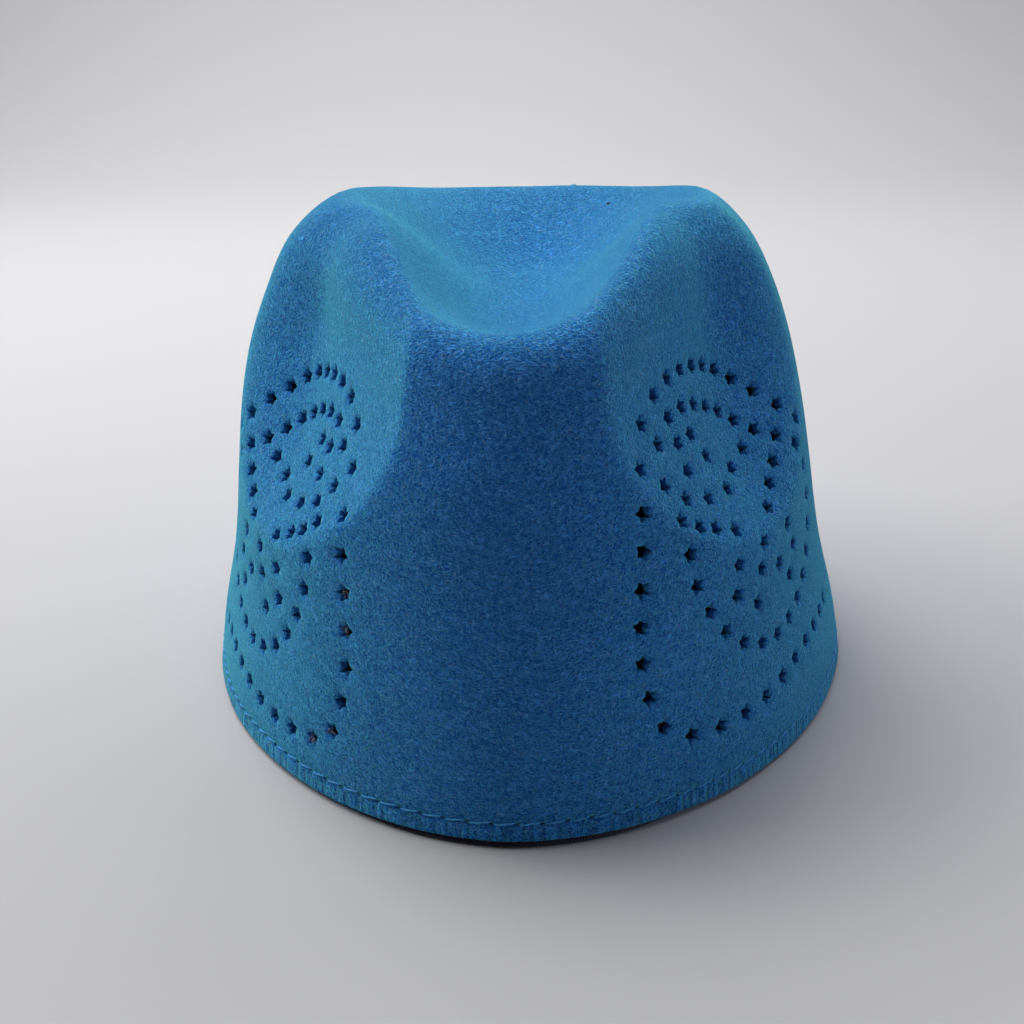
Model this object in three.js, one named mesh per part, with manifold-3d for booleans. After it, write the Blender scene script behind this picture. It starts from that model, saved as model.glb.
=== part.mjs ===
// A felt cap with a pinched front and a dented top: one felt crown, pierced with small stars,
// and the ribbon band inside its rim.
// Millimetres, +Z up, the front toward -Y, the origin on the ground under the middle of the cap.
import * as THREE from "three";
import { mergeVertices } from "three/addons/utils/BufferGeometryUtils.js";
import Module from "manifold-3d";

// Sizes of the sheet materials
const FELT = 2.0; // thickness of the felt
const BAND_THICK = 1.0; // the ribbon, folded double
const BAND_TALL = 28; // height of the ribbon inside the rim
const BAND_GAP = 0.3; // clear space between the ribbon and the felt

// Rings of the felt's outer face, from the rim up to the ridge and down into the dent.
// half: half width. front, back: reach from the widest line. side, nose, nape: height at each
// side, at the front and at the back. lean: shift to +X. pinched: share of the side pinch that
// the ring takes. split: facet rows up to the next ring.
const RINGS = [
  { half: 85.8, front: 106.5, back: 96, side: 0.6, nose: 1.8, nape: 0.6, lean: 0, pinched: 1, split: 1 },
  { half: 83.5, front: 105, back: 94, side: 14, nose: 14, nape: 14, lean: 0, pinched: 1, split: 1 },
  { half: 78.5, front: 102.5, back: 91, side: 34, nose: 34, nape: 34, lean: -0.5, pinched: 1, split: 2 },
  { half: 75, front: 99, back: 88, side: 56, nose: 55, nape: 56, lean: -1, pinched: 1, split: 2 },
  { half: 71, front: 95, back: 83, side: 79, nose: 76, nape: 78, lean: -1.5, pinched: 1, split: 2 },
  { half: 64.5, front: 90.5, back: 76, side: 98, nose: 90, nape: 96, lean: -1.5, pinched: 1, split: 2 },
  { half: 57, front: 86, back: 67, side: 112, nose: 100, nape: 108.5, lean: -1.5, pinched: 1, split: 2 },
  { half: 45, front: 79, back: 57, side: 120.5, nose: 104, nape: 113.5, lean: -1, pinched: 1, split: 2 },
  { half: 33, front: 68, back: 46, side: 115, nose: 101, nape: 110, lean: -1, pinched: 0.75, split: 1 },
  { half: 21, front: 50, back: 34, side: 105, nose: 97, nape: 104, lean: -1, pinched: 0.45, split: 1 },
  { half: 10, front: 28, back: 20, side: 97.5, nose: 95, nape: 98, lean: -1, pinched: 0.1, split: 1 },
  { half: 0, front: 0, back: 0, side: 95, nose: 95, nape: 95, lean: -1, pinched: 0, split: 1 },
];
const RIDGE = 7; // the ring along the top of the ridge
const WIDEST_Y = (RINGS[0].front - RINGS[0].back) / 2;
const FRONT_POWER = 1.86; // under 2, so that the front is a little more pointed than an ellipse
const NOTCH_POWER = 8; // how narrow the low stretch at the front of the ridge is
const NAPE_POWER = 1.7; // how the ridge falls toward the back

// The two pinches that leave a narrow nose between them
const PINCH_TURN = 45; // degrees from the front to the deepest line of each pinch
const PINCH_LEAN = 1; // degrees that both pinches are turned to +X
const PINCH_TO_NOSE = 31.5; // degrees from that line to the fold at the nose
const PINCH_TO_SIDE = 31.5; // degrees from that line to where it fades at the side
const PINCH_DEPTH = 14.5;
const PINCH_FOOT = 52; // height of the lip under each pinch
const PINCH_FULL = 91; // height where it is deepest
const PINCH_TOP = 122; // height where it has its top share
const PINCH_TOP_SHARE = 0.62;
const OUTLINE_POWER = 1.9; // 2 is an oval outline, 1 a pointed one
const FLOOR_POWER = 2.6; // how flat the floor of a pinch is
const FOLD_POWER = 0.9; // crisp at the nose
const LIP_POWER = 1.3; // less crisp at the lip
const FADE_POWER = 2.5; // softer toward the side

// Facet columns round the crown, closer in the front half
const FRONT_COLUMNS = 36;
const BACK_COLUMNS = 20;

// Star holes
const STAR = { points: 5, outer: 2.1, inner: 1.2, overcut: 1.5, tip: 30 };
const STAR_TWIST = { angle: 0.4, step: 2.4 }; // each star is turned a little from upright
const MM_PER_DEGREE = 1.55; // along the wall, for even spacing

// Lines of stars on the wearer's left side, each through a few places:
// degrees from the front, height in mm
const STAR_LINES = [
  {
    name: "border",
    count: 29,
    closed: false,
    through: [
      [70, 22],
      [60, 21.5],
      [50, 20],
      [38, 17],
      [28, 17],
      [21, 20],
      [18, 31],
      [17.5, 45],
      [18.5, 60],
      [19.5, 75],
      [22, 84.5],
      [30, 89],
      [40, 89],
      [50, 86],
      [60, 79],
      [69, 70],
    ],
  },
  {
    name: "ring",
    count: 26,
    closed: true,
    through: [
      [29, 82],
      [36, 82],
      [46, 78],
      [56, 71],
      [66, 64],
      [68, 54],
      [66, 44],
      [59, 35.5],
      [50, 30],
      [42, 29],
      [35, 33],
      [30, 41],
      [26.5, 52],
      [26, 62],
      [24, 71],
      [24.5, 78],
    ],
  },
];
// The other side has the same chart, a little lower at its foot and farther from the nose:
// its turns are times spread, plus shift
const STAR_SIDES = [
  { side: 1, lowerFoot: 0, lowerTop: 0, spread: 1, shift: 0 },
  { side: -1, lowerFoot: 5, lowerTop: 2, spread: 0.92, shift: 5 },
];
const CHART_TOP = 90;

const COLUMNS = ["half", "front", "back", "side", "nose", "nape", "lean", "pinched"];

// Smooth values between the rings, at a place counted in rings
function alongRings(place) {
  const last = RINGS.length - 1;
  const i = Math.min(Math.floor(place), last - 1);
  const u = place - i;
  const ring = {};
  for (const key of COLUMNS) {
    const start = RINGS[i][key];
    const end = RINGS[i + 1][key];
    const before = i > 0 ? RINGS[i - 1][key] : 2 * start - end;
    const after = i < last - 1 ? RINGS[i + 2][key] : 2 * end - start;
    const slope = end - before;
    const bend = 2 * before - 5 * start + 4 * end - after;
    const twist = 3 * start - before - 3 * end + after;
    ring[key] = 0.5 * (2 * start + slope * u + bend * u * u + twist * u ** 3);
  }
  return ring;
}

function smooth(from, to, value) {
  return THREE.MathUtils.smoothstep(value, from, to);
}

// How deep the side pinches are at a turn (radians from the front) and a height
function pinchDepth(turn, height) {
  const degrees = THREE.MathUtils.radToDeg(turn);
  const off = Math.abs(degrees) - PINCH_TURN - PINCH_LEAN * Math.sign(degrees);
  const aside = Math.abs(off) / (off < 0 ? PINCH_TO_NOSE : PINCH_TO_SIDE);
  const below = Math.max(PINCH_FULL - height, 0) / (PINCH_FULL - PINCH_FOOT);
  const out = (aside ** OUTLINE_POWER + below ** OUTLINE_POWER) ** (1 / OUTLINE_POWER);
  const lowShare = out > 0 ? below ** 2 / (aside ** 2 + below ** 2) : 0;
  const sidePower = off < 0 ? FOLD_POWER : FADE_POWER;
  const power = THREE.MathUtils.lerp(sidePower, LIP_POWER, lowShare);
  const bowl = Math.max(1 - out ** FLOOR_POWER, 0) ** power;
  const fall = 1 - (1 - PINCH_TOP_SHARE) * smooth(PINCH_FULL, PINCH_TOP, height);
  return PINCH_DEPTH * fall * bowl;
}

// A point of the felt's outer face
function outerFace(turn, place) {
  const ring = alongRings(place);
  const ahead = Math.cos(turn);
  const aside = Math.abs(Math.sin(turn));
  const reach = ahead > 0 ? ring.front : ring.back;
  const power = ahead > 0 ? FRONT_POWER : 2;
  const toNose = Math.max(ahead, 0) ** NOTCH_POWER;
  const toNape = Math.max(-ahead, 0) ** NAPE_POWER;
  const height = ring.side + (ring.nose - ring.side) * toNose + (ring.nape - ring.side) * toNape;
  let radius = 0;
  if (ring.half > 0) {
    const sum = (aside / ring.half) ** power + Math.abs(ahead / reach) ** power;
    radius = sum ** (-1 / power) - ring.pinched * pinchDepth(turn, height);
  }
  const x = ring.lean + radius * Math.sin(turn);
  return new THREE.Vector3(x, WIDEST_Y - radius * ahead, height);
}

// The direction out of the felt; at the rim it is level, so that the cut edge is square
function outward(turn, place) {
  const step = 0.02;
  const upper = Math.min(place + step, RINGS.length - 1);
  const lower = Math.max(place - step, 0);
  const across = outerFace(turn + step, place).sub(outerFace(turn - step, place));
  const along = outerFace(turn, upper).sub(outerFace(turn, lower));
  const normal = across.cross(along);
  if (place === 0) normal.z = 0;
  return normal.normalize();
}

// A point a given depth under the outer face
function underFace(turn, place, depth) {
  return outerFace(turn, place).addScaledVector(outward(turn, place), -depth);
}

function columnTurns() {
  const turns = [];
  for (let i = 0; i < FRONT_COLUMNS; i += 1) {
    turns.push(-Math.PI / 2 + (Math.PI * i) / FRONT_COLUMNS);
  }
  for (let i = 0; i < BACK_COLUMNS; i += 1) {
    turns.push(Math.PI / 2 + (Math.PI * i) / BACK_COLUMNS);
  }
  return turns;
}

function rowPlaces() {
  const places = [];
  for (let i = 0; i < RINGS.length - 1; i += 1) {
    const { split } = RINGS[i];
    for (let j = 0; j < split; j += 1) places.push(i + j / split);
  }
  return places;
}

// Triangles between two rows of points that run round the cap
function joinRows(triangles, count, lower, upper) {
  for (let i = 0; i < count; i += 1) {
    const next = (i + 1) % count;
    triangles.push(lower + i, lower + next, upper + next);
    triangles.push(lower + i, upper + next, upper + i);
  }
}

function meshGeometry(points, triangles) {
  const geometry = new THREE.BufferGeometry();
  const positions = points.flatMap((point) => point.toArray());
  geometry.setAttribute("position", new THREE.Float32BufferAttribute(positions, 3));
  geometry.setIndex(triangles);
  return geometry;
}

// The felt before it is pierced: outer face, inner face, the cut rim and the two tips of the dent
function feltShell() {
  const turns = columnTurns();
  const places = rowPlaces();
  const count = turns.length;
  const points = [];
  for (const depth of [0, FELT]) {
    for (const place of places) {
      for (const turn of turns) points.push(underFace(turn, place, depth));
    }
  }
  const tipOuter = outerFace(0, RINGS.length - 1);
  const tipInner = tipOuter.clone().setZ(tipOuter.z - FELT);
  points.push(tipOuter, tipInner);

  const triangles = [];
  const face = places.length * count;
  for (let row = 0; row < places.length - 1; row += 1) {
    const here = row * count;
    joinRows(triangles, count, here, here + count);
    joinRows(triangles, count, face + here + count, face + here);
  }
  joinRows(triangles, count, face, 0);
  for (let i = 0; i < count; i += 1) {
    const next = (i + 1) % count;
    const top = face - count;
    triangles.push(top + i, top + next, 2 * face);
    triangles.push(face + top + next, face + top + i, 2 * face + 1);
  }
  return meshGeometry(points, triangles);
}

// The ribbon band: it hangs just inside the felt and reaches the ground under the felt's edge
function bandGeometry() {
  const turns = columnTurns();
  const count = turns.length;
  const near = FELT + BAND_GAP;
  const far = near + BAND_THICK;
  const share = (BAND_TALL - RINGS[1].side) / (RINGS[2].side - RINGS[1].side);
  const points = [];
  for (const depth of [near, far]) {
    for (const turn of turns) points.push(underFace(turn, 0, depth).setZ(0));
    for (const turn of turns) points.push(underFace(turn, 1, depth));
    for (const turn of turns) {
      points.push(underFace(turn, 1, depth).lerp(underFace(turn, 2, depth), share));
    }
  }
  const triangles = [];
  joinRows(triangles, count, 0, count);
  joinRows(triangles, count, count, 2 * count);
  joinRows(triangles, count, 2 * count, 5 * count);
  joinRows(triangles, count, 5 * count, 4 * count);
  joinRows(triangles, count, 4 * count, 3 * count);
  joinRows(triangles, count, 3 * count, 0);
  return meshGeometry(points, triangles);
}

// The ring place on the wall at a turn that has a given height
function placeAtHeight(turn, height) {
  let low = 0;
  let high = RIDGE;
  for (let pass = 0; pass < 30; pass += 1) {
    const middle = (low + high) / 2;
    if (outerFace(turn, middle).z < height) low = middle;
    else high = middle;
  }
  return low;
}

// Evenly spaced places along one line of the chart: x in degrees from the front, y in mm of height
function starPlaces(line) {
  const points = line.through.map(([turn, height]) => new THREE.Vector3(turn * MM_PER_DEGREE, height, 0));
  const curve = new THREE.CatmullRomCurve3(points, line.closed, "centripetal");
  const spans = line.closed ? line.count : line.count - 1;
  const spaced = curve.getSpacedPoints(spans).slice(0, line.count);
  return spaced.map((point) => new THREE.Vector2(point.x / MM_PER_DEGREE, point.y));
}

// A star-shaped punch that stands square to the felt: a long pyramid, so that its walls are plain
// triangles, with its base just outside the felt and its tip deep inside the hollow
function starPunch(turn, place, twist) {
  const grow = (STAR.tip + STAR.overcut) / STAR.tip;
  const corners = 2 * STAR.points;
  const points = [];
  for (let i = 0; i < corners; i += 1) {
    const radius = grow * (i % 2 === 0 ? STAR.outer : STAR.inner);
    const angle = Math.PI / 2 + twist + (Math.PI * i) / STAR.points;
    points.push(new THREE.Vector3(radius * Math.cos(angle), radius * Math.sin(angle), STAR.overcut));
  }
  points.push(new THREE.Vector3(0, 0, STAR.overcut), new THREE.Vector3(0, 0, -STAR.tip));
  const triangles = [];
  for (let i = 0; i < corners; i += 1) {
    const next = (i + 1) % corners;
    triangles.push(i, next, corners);
    triangles.push(next, i, corners + 1);
  }
  const normal = outward(turn, place);
  const aside = new THREE.Vector3(0, 0, 1).cross(normal).normalize();
  const up = normal.clone().cross(aside);
  const frame = new THREE.Matrix4().makeBasis(aside, up, normal);
  frame.setPosition(outerFace(turn, place));
  return meshGeometry(points, triangles).applyMatrix4(frame);
}

function starPunches() {
  const punches = [];
  for (const { side, lowerFoot, lowerTop, spread, shift } of STAR_SIDES) {
    for (const line of STAR_LINES) {
      for (const spot of starPlaces(line)) {
        const lower = THREE.MathUtils.lerp(lowerFoot, lowerTop, spot.y / CHART_TOP);
        const turn = side * THREE.MathUtils.degToRad(spot.x * spread + shift);
        const place = placeAtHeight(turn, spot.y - lower);
        const twist = STAR_TWIST.angle * Math.sin(STAR_TWIST.step * punches.length);
        punches.push(starPunch(turn, place, twist));
      }
    }
  }
  return punches;
}

const wasm = await Module();
wasm.setup();

function toSolid(geometry) {
  const bare = geometry.clone();
  bare.deleteAttribute("normal");
  bare.deleteAttribute("uv");
  const merged = mergeVertices(bare, 1e-5);
  const vertProperties = Float32Array.from(merged.attributes.position.array);
  const triVerts = Uint32Array.from(merged.index.array);
  return new wasm.Manifold(new wasm.Mesh({ numProp: 3, vertProperties, triVerts }));
}

function toGeometry(solid) {
  const mesh = solid.getMesh();
  const geometry = new THREE.BufferGeometry();
  geometry.setAttribute("position", new THREE.Float32BufferAttribute(mesh.vertProperties, 3));
  geometry.setIndex(Array.from(mesh.triVerts));
  return geometry;
}

function piercedFelt() {
  let holes = null;
  for (const punch of starPunches()) {
    const solid = toSolid(punch);
    holes = holes ? holes.add(solid) : solid;
  }
  return toGeometry(toSolid(feltShell()).subtract(holes));
}

function addPiece(group, name, geometry, material) {
  geometry.computeVertexNormals();
  const mesh = new THREE.Mesh(geometry, material);
  mesh.name = name;
  group.add(mesh);
}

const felt = new THREE.MeshStandardMaterial({ color: 0x2d7cb8, roughness: 0.95, metalness: 0 });
const ribbon = new THREE.MeshStandardMaterial({ color: 0x2a2032, roughness: 0.7, metalness: 0 });

const group = new THREE.Group();
addPiece(group, "felt_crown", piercedFelt(), felt);
addPiece(group, "sweatband", bandGeometry(), ribbon);

export default group;
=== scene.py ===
# %% [markdown]
# # A pinched felt cap, pierced with stars
#
# This lesson dresses the plain solids of a felt cap in Blender: the moulded felt with its
# star-shaped holes, the seam above its edge, the ribbon inside and the wool fibres on top.
# The solids come first, because they fix the size and the place of everything after them.

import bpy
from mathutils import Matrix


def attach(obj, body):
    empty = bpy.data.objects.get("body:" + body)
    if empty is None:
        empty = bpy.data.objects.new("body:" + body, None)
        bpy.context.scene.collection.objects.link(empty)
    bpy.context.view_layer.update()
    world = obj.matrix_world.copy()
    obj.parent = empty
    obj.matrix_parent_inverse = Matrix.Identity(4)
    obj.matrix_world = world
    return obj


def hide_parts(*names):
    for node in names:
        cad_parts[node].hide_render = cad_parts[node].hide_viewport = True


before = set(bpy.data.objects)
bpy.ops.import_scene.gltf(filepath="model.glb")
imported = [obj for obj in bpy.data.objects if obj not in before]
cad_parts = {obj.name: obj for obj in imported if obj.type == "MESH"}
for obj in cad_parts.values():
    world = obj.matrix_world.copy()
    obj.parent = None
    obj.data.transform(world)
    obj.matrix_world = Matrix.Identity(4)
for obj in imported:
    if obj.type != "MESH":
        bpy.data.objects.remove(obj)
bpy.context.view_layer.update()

# %% [markdown]
# ## Tools for every step
#
# Blender counts in metres, and a hatter counts in millimetres. So the sizes below are written in
# millimetres, and MM turns them into metres where a mesh needs them. An operator acts on all
# that is selected, so each step starts with nothing selected. Each visit to edit mode is a with
# block, which opens one piece with what is marked selected, and closes it again.

# %% Tools
import math
from contextlib import contextmanager

import bmesh
import bpy
import numpy as np
from mathutils import Matrix, Vector, noise
from mathutils.geometry import delaunay_2d_cdt

MM = 0.001
scene = bpy.context.scene


def start_fresh():
    """Leave edit mode and deselect everything."""
    if bpy.context.object and bpy.context.object.mode != "OBJECT":
        bpy.ops.object.mode_set(mode="OBJECT")
    bpy.ops.object.select_all(action="DESELECT")


def take_up(piece):
    """Select one piece alone and make it the active one."""
    start_fresh()
    piece.select_set(True)
    bpy.context.view_layer.objects.active = piece


def read(parts, what, per=1, kind=float):
    """One value for each part of a mesh, or a row of so many."""
    values = np.zeros(len(parts) * per, kind)
    parts.foreach_get(what, values)
    return values.reshape(-1, per) if per > 1 else values


def points_of(piece):
    """The vertices of a piece in millimetres, a row each."""
    return read(piece.data.vertices, "co", 3) / MM


def put_points(piece, points):
    """Move the vertices of a piece to these places in millimetres."""
    piece.data.vertices.foreach_set("co", (points * MM).ravel())
    piece.data.update()


@contextmanager
def editing(piece, kind="vertices", mask=True):
    """Edit one piece with all of it selected, or the vertices, edges or faces of a mask.

    The kind of selection is set too: in vertex mode, Blender would also take each face
    whose corners all happen to be selected.
    """
    take_up(piece)
    mesh = piece.data
    kinds = {"vertices": mesh.vertices, "edges": mesh.edges, "faces": mesh.polygons}
    for name, parts in kinds.items():
        parts.foreach_set("select", np.zeros(len(parts), bool) | (mask if name == kind else False))
    scene.tool_settings.mesh_select_mode = [name == kind for name in kinds]
    bpy.ops.object.mode_set(mode="EDIT")
    yield
    bpy.ops.object.mode_set(mode="OBJECT")


def edge_ends(piece):
    """The two vertex numbers of each edge."""
    return read(piece.data.edges, "vertices", 2, int)


def triangle_count(piece):
    """How many triangles a piece has."""
    return sum(len(face.vertices) - 2 for face in piece.data.polygons)


# %% [markdown]
# ## The camera
#
# The camera stands in front of the cap and a little above it, and looks down on the dent. It is
# set first, so that every later step can be judged from the same place. A camera looks along
# its own -Z axis, and to_track_quat turns that axis toward the target.

# %% Camera
CAMERA_PLACE = Vector((17.55, -327.5, 169.85))
CAMERA_TARGET = Vector((-3.66, -8.66, 38.91))
CAMERA_ROLL = -0.81
# millimetres of glass and of film, then the nearest distance in metres that it sees
CAMERA_LENS, CAMERA_SENSOR, CAMERA_NEAR = 45.7, 36, 0.01

camera_data = bpy.data.cameras.new("camera")
camera_data.lens = CAMERA_LENS
camera_data.sensor_width = CAMERA_SENSOR
camera_data.clip_start = CAMERA_NEAR
camera = bpy.data.objects.new("camera", camera_data)
scene.collection.objects.link(camera)
line_of_sight = CAMERA_TARGET - CAMERA_PLACE
camera.rotation_mode = "QUATERNION"
turn_to_target = line_of_sight.to_track_quat("-Z", "Y")
roll = Matrix.Rotation(math.radians(CAMERA_ROLL), 3, "Z").to_quaternion()
camera.rotation_quaternion = turn_to_target @ roll
camera.location = CAMERA_PLACE * MM
scene.camera = camera
print("camera looks down by", round(math.degrees(math.asin(-line_of_sight.normalized().z)), 1))

# %% [markdown]
# ## The block
#
# A real felt cap starts as a soft cone of wool that is steamed and pulled over a wooden block.
# The block here is a function: it gives the felt's outer face for a turn from the front and a
# place counted in rings from the rim. Each ring is an oval with its own reach and height. The
# holes, the seam and the ribbon use the same function, so all of them follow the same form.

# %% Rings of the block
FELT_THICK = 2.0
# half width, reach to the front, reach to the back, height at the sides, at the front and at the
# back, shift to the side, share of the side pinches
RINGS = np.array(
    [
        (85.8, 106.5, 96, 0.6, 1.8, 0.6, 0, 1),
        (83.5, 105, 94, 14, 14, 14, 0, 1),
        (78.5, 102.5, 91, 34, 34, 34, -0.5, 1),
        (75, 99, 88, 56, 55, 56, -1, 1),
        (71, 95, 83, 79, 76, 78, -1.5, 1),
        (64.5, 90.5, 76, 98, 90, 96, -1.5, 1),
        (57, 86, 67, 112, 100, 108.5, -1.5, 1),
        (45, 79, 57, 120.5, 104, 113.5, -1, 1),
        (33, 68, 46, 115, 101, 110, -1, 0.4),
        (21, 50, 34, 105, 97, 104, -1, 0.1),
        (10, 28, 20, 97.5, 95, 98, -1, 0),
        (0, 0, 0, 95, 95, 95, -1, 0),
    ]
)
RIDGE_RING = 7
LAST_RING = len(RINGS) - 1
WIDEST_Y = 5.25
FRONT_POWER = 1.86
NOTCH_POWER = 8
NAPE_POWER = 1.7


def rings_at(place):
    """Smooth values between the rings, at places counted in rings."""
    i = np.clip(np.floor(place).astype(int), 0, LAST_RING - 1)
    u = (place - i)[:, None]
    start, end = RINGS[i], RINGS[i + 1]
    before = np.where((i > 0)[:, None], RINGS[np.maximum(i - 1, 0)], 2 * start - end)
    after = np.where(
        (i < LAST_RING - 1)[:, None], RINGS[np.minimum(i + 2, LAST_RING)], 2 * end - start
    )
    bend = 2 * before - 5 * start + 4 * end - after
    twist = 3 * start - before - 3 * end + after
    return 0.5 * (2 * start + (end - before) * u + bend * u**2 + twist * u**3)


# %% [markdown]
# ## The two pinches
#
# Thumb and fingers press a hollow into each side of the front, and leave a narrow nose between
# them. Each hollow is a shallow bowl taken off the radius: flat in its middle, crisp where it
# meets the nose, with a lip at its foot, and soft toward the side.

# %% Pinches
# degrees from the front to the deepest line of a pinch, both turned a little to +X, then degrees
# from that line to the fold at the nose and to where the pinch fades at the side
PINCH_TURN, PINCH_LEAN = 45, 1
PINCH_TO_NOSE, PINCH_TO_SIDE = 31.5, 31.5
PINCH_DEPTH = 14.5
# heights of the lip, of the deepest place and of the top share
PINCH_FOOT, PINCH_FULL, PINCH_TOP = 52, 91, 122
PINCH_TOP_SHARE = 0.62
OUTLINE_POWER, FLOOR_POWER = 1.9, 2.6
FOLD_POWER, LIP_POWER, FADE_POWER = 0.9, 1.3, 2.5
# how much farther toward the side the pinches reach inside the dent
DENT_SPREAD = 1.2


def smooth(low, high, value):
    """An S-shaped step from 0 at low to 1 at high."""
    share = np.clip((value - low) / (high - low), 0, 1)
    return share * share * (3 - 2 * share)


def pinch_depth(turn, height, share):
    """How far the pinches push the felt in, for turns in radians and heights in millimetres.

    The share is 1 on the wall and falls toward the bottom of the dent.
    """
    degrees = np.degrees(turn)
    off = np.abs(degrees) - PINCH_TURN - PINCH_LEAN * np.sign(degrees)
    to_side = PINCH_TO_SIDE * (1 + DENT_SPREAD * np.maximum(1 - share, 0))
    aside = np.abs(off) / np.where(off < 0, PINCH_TO_NOSE, to_side)
    below = np.maximum(PINCH_FULL - height, 0) / (PINCH_FULL - PINCH_FOOT)
    out = (aside**OUTLINE_POWER + below**OUTLINE_POWER) ** (1 / OUTLINE_POWER)
    low_share = below**2 / (aside**2 + below**2 + 1e-9)
    side_power = np.where(off < 0, FOLD_POWER, FADE_POWER)
    power = side_power + (LIP_POWER - side_power) * low_share
    bowl = np.maximum(1 - out**FLOOR_POWER, 0) ** power
    fall = 1 - (1 - PINCH_TOP_SHARE) * smooth(PINCH_FULL, PINCH_TOP, height)
    return share * PINCH_DEPTH * fall * bowl


def felt_face(turn, place):
    """Points of the felt's outer face in millimetres."""
    half, front, back, side, nose, nape, lean, pinched = rings_at(place).T
    ahead, aside = np.cos(turn), np.abs(np.sin(turn))
    reach = np.where(ahead > 0, front, back)
    power = np.where(ahead > 0, FRONT_POWER, 2)
    to_nose = np.maximum(ahead, 0) ** NOTCH_POWER
    to_nape = np.maximum(-ahead, 0) ** NAPE_POWER
    height = side + (nose - side) * to_nose + (nape - side) * to_nape
    tiny = 1e-9
    oval = (aside / (half + tiny)) ** power + np.abs(ahead / (reach + tiny)) ** power
    radius = oval ** (-1 / power) - pinch_depth(turn, height, pinched)
    x = lean + radius * np.sin(turn)
    return np.column_stack([x, WIDEST_Y - radius * ahead, height])


def felt_outward(turn, place):
    """The direction out of the felt."""
    step = 0.02
    inside = np.minimum(place, LAST_RING - 2 * step)
    across = felt_face(turn + step, inside) - felt_face(turn - step, inside)
    upper = felt_face(turn, inside + step)
    lower = felt_face(turn, np.maximum(inside - step, 0))
    normal = np.cross(across, upper - lower)
    normal /= np.linalg.norm(normal, axis=1)[:, None]
    normal[place > LAST_RING - step] = (0, 0, 1)
    return normal


# %% [markdown]
# ## From the flat felt to the block
#
# It is easiest to punch and to sew felt while it lies flat. So the blank is laid out flat, with
# its length along X, its height along Y and its thickness along Z, and pressed over the block
# at the end. To keep cells and stitches true to size, a place on the flat felt is measured in
# millimetres along the block, and a small table turns it back into rings.

# %% Pressing
FLAT_LONG = 500.0
TURN_PER_MM = 2 * math.pi / FLAT_LONG
# fine steps up the block, degrees between profiles, and halvings in a search for a height
FINE_STEPS, PROFILE_STEP, HALVINGS = 441, 15, 30

fine_places = np.linspace(0, LAST_RING, FINE_STEPS)
mean_turns = np.radians(np.arange(PROFILE_STEP / 2 - 180, 180, PROFILE_STEP))
spans = np.zeros(len(fine_places))
for mean_turn in mean_turns:
    profile = felt_face(np.full(len(fine_places), mean_turn), fine_places)
    spans[1:] += np.linalg.norm(np.diff(profile, axis=0), axis=1) / len(mean_turns)
reach_up = np.cumsum(spans)
FLAT_TALL = reach_up[-1]


def press(flat):
    """Flat places (along, up, out of the felt) to places on the block, all in millimetres."""
    turn = flat[:, 0] * TURN_PER_MM
    place = np.interp(flat[:, 1], reach_up, fine_places)
    return felt_face(turn, place) + felt_outward(turn, place) * flat[:, 2:3]


def flat_at_height(turn, height):
    """How far up the flat felt a height on the wall is, for arrays of turns and heights."""
    low = np.zeros(len(turn))
    high = np.full(len(turn), float(RIDGE_RING))
    for _ in range(HALVINGS):
        middle = (low + high) / 2
        under = felt_face(turn, middle)[:, 2] < height
        low = np.where(under, middle, low)
        high = np.where(under, high, middle)
    return np.interp(low, fine_places, reach_up)


print("flat felt, mm:", FLAT_LONG, "by", round(float(FLAT_TALL), 1))

# %% [markdown]
# ## The chart of the stars
#
# The holes stand in lines, as the punch was walked over the felt: a border, a ring inside it
# and loose curls in the middle. A line is a smooth curve through a few places, with the holes
# evenly spaced on it. A place is given in degrees from the front and in millimetres of height.
# The chart is drawn for the wearer's left and mirrored for the right, where it sits a little
# lower and farther from the nose.

# %% Lines of the chart
# one degree round the wall in millimetres, and the steps between two places of a line
MM_PER_DEGREE, LINE_STEPS = 1.55, 12
BORDER_COUNT, RING_COUNT = 29, 26
BORDER_LINE = [
    (70, 22), (60, 21.5), (50, 20), (38, 17), (28, 17), (21, 20), (18, 31), (17.5, 45),
    (18.5, 60), (19.5, 75), (22, 84.5), (30, 89), (40, 89), (50, 86), (60, 79), (69, 70),
]  # fmt: skip
RING_LINE = [
    (29, 82), (36, 82), (46, 78), (56, 71), (66, 64), (68, 54), (66, 44), (59, 35.5),
    (50, 30), (42, 29), (35, 33), (30, 41), (26.5, 52), (26, 62), (24, 71), (24.5, 78),
]  # fmt: skip
CURLS = [
    (34.5, 76.5), (30, 76.5), (37.5, 71), (30.5, 71), (33.5, 64.5), (40, 63.5), (44.5, 66), (51, 68),
    (57, 63.5), (53, 60), (49, 56.5), (53, 51), (55, 45), (52, 39), (48, 44), (42, 46),
    (43.5, 51.5), (36, 50), (37, 57), (32.5, 59.5), (28, 67), (29, 61.5), (35, 43.5), (40, 39),
]  # fmt: skip


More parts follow.
